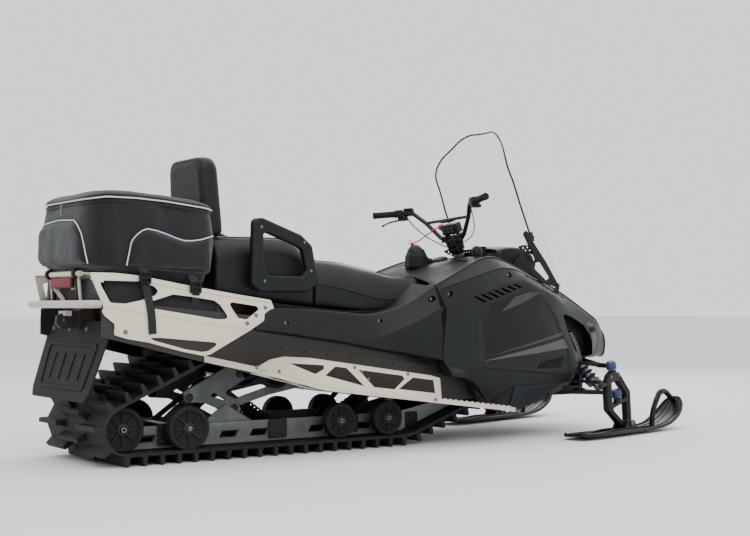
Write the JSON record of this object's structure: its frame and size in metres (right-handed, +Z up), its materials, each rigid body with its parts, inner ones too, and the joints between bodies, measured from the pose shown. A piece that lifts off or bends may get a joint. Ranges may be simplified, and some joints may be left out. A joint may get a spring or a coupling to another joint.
{
  "type": "utility snowmobile",
  "caption": "Wide-track utility snowmobile with a faceted body, tall windshield, long seat, raised passenger seat, backrest and a cargo bag on a rear rack.",
  "frame": {"origin": "on the floor under the middle of the machine's bounding box", "axes": "+X forward, +Y to the rider's left, +Z up"},
  "size_m": [3.3314, 1.3204, 1.5424],
  "materials": {
    "cream_metal": "satin cream paint",
    "dark_metal": "dark brown-grey paint",
    "rail_metal": "grey paint",
    "bar_metal": "dark bronze paint",
    "body_plastic": "matte black, moulded",
    "ski_plastic": "black, smooth",
    "seat_vinyl": "black grained vinyl",
    "bag_fabric": "black woven fabric",
    "track_rubber": "black rubber",
    "clear_sheet": "clear, with a dark edge",
    "lamp_clear": "clear lens",
    "lamp_red": "red lens",
    "bare_metal": "cast or machined",
    "shock_metal": "plated"
  },
  "bodies": {
    "chassis": {"backrest": "seat_vinyl", "belly_pan": "body_plastic", "bulkhead": "dark_metal", "cargo_bag": "bag_fabric", "cargo_rack": "cream_metal", "chaincase": "bare_metal", "console": "body_plastic", "drive_axle": "bare_metal", "engine": "bare_metal", "front_arms": "dark_metal", "front_shocks": "shock_metal", "hand_grips": "body_plastic", "headlight": "lamp_clear", "hood": "body_plastic", "instrument_hood": "body_plastic", "nose": "body_plastic", "passenger_seat": "seat_vinyl", "rear_bumper": "cream_metal", "rider_seat": "seat_vinyl", "running_board_l": "cream_metal", "running_board_r": "cream_metal", "seat_base": "body_plastic", "side_cover_l": "body_plastic", "side_cover_r": "body_plastic", "side_panel_l": "body_plastic", "side_panel_r": "body_plastic", "side_plate_l": "cream_metal", "side_plate_r": "cream_metal", "skid_frame": "dark_metal", "skid_rail_l": "rail_metal", "skid_rail_r": "rail_metal", "snow_flap": "track_rubber", "tail_light": "lamp_red", "tow_hitch": "dark_metal", "track": "track_rubber", "track_wheels": "track_rubber", "tunnel": "dark_metal", "windshield": "clear_sheet", "windshield_mount": "body_plastic"},
    "handlebar": {"handlebar": "bar_metal", "hand_controls": "track_rubber"},
    "spindle_r": {"spindle_r": "dark_metal"},
    "ski_r": {"ski_r": "ski_plastic"},
    "tie_rod_r": {"tie_rod_r": "dark_metal"},
    "spindle_l": {"spindle_l": "dark_metal"},
    "ski_l": {"ski_l": "ski_plastic"},
    "tie_rod_l": {"tie_rod_l": "dark_metal"}
  },
  "joints": [
    {"name": "steering", "type": "hinge", "parent": "chassis", "child": "handlebar", "pos_m": [0.49, 0, 0.87], "axis": [-0.3746, 0, 0.9272], "range_deg": [-42, 18]},
    {"name": "kingpin_r", "type": "hinge", "parent": "chassis", "child": "spindle_r", "pos_m": [1.087, -0.5, 0.206], "axis": [-0.2425, 0, 0.9701], "range_deg": [-42, 18]},
    {"name": "ski_pitch_r", "type": "hinge", "parent": "spindle_r", "child": "ski_r", "pos_m": [1.1544, -0.49415, 0.04985], "axis": [-0.2017, 0.9781, -0.0504], "range_deg": [-12, 12]},
    {"name": "tie_rod_r", "type": "hinge", "parent": "spindle_r", "child": "tie_rod_r", "pos_m": [0.9532, -0.52453, 0.26532], "axis": [-0.2425, 0, 0.9701], "range_deg": [-18, 42]},
    {"name": "kingpin_l", "type": "hinge", "parent": "chassis", "child": "spindle_l", "pos_m": [1.087, 0.5, 0.206], "axis": [-0.2425, 0, 0.9701], "range_deg": [-42, 18]},
    {"name": "ski_pitch_l", "type": "hinge", "parent": "spindle_l", "child": "ski_l", "pos_m": [1.1544, 0.50585, 0.04985], "axis": [-0.2017, 0.9781, -0.0504], "range_deg": [-12, 12]},
    {"name": "tie_rod_l", "type": "hinge", "parent": "spindle_l", "child": "tie_rod_l", "pos_m": [0.9532, 0.47547, 0.26532], "axis": [-0.2425, 0, 0.9701], "range_deg": [-18, 42]}
  ],
  "couplings": [
    {"joint": "kingpin_r", "follows": "steering", "ratio": 1},
    {"joint": "tie_rod_r", "follows": "steering", "ratio": -1},
    {"joint": "kingpin_l", "follows": "steering", "ratio": 1},
    {"joint": "tie_rod_l", "follows": "steering", "ratio": -1}
  ]
}
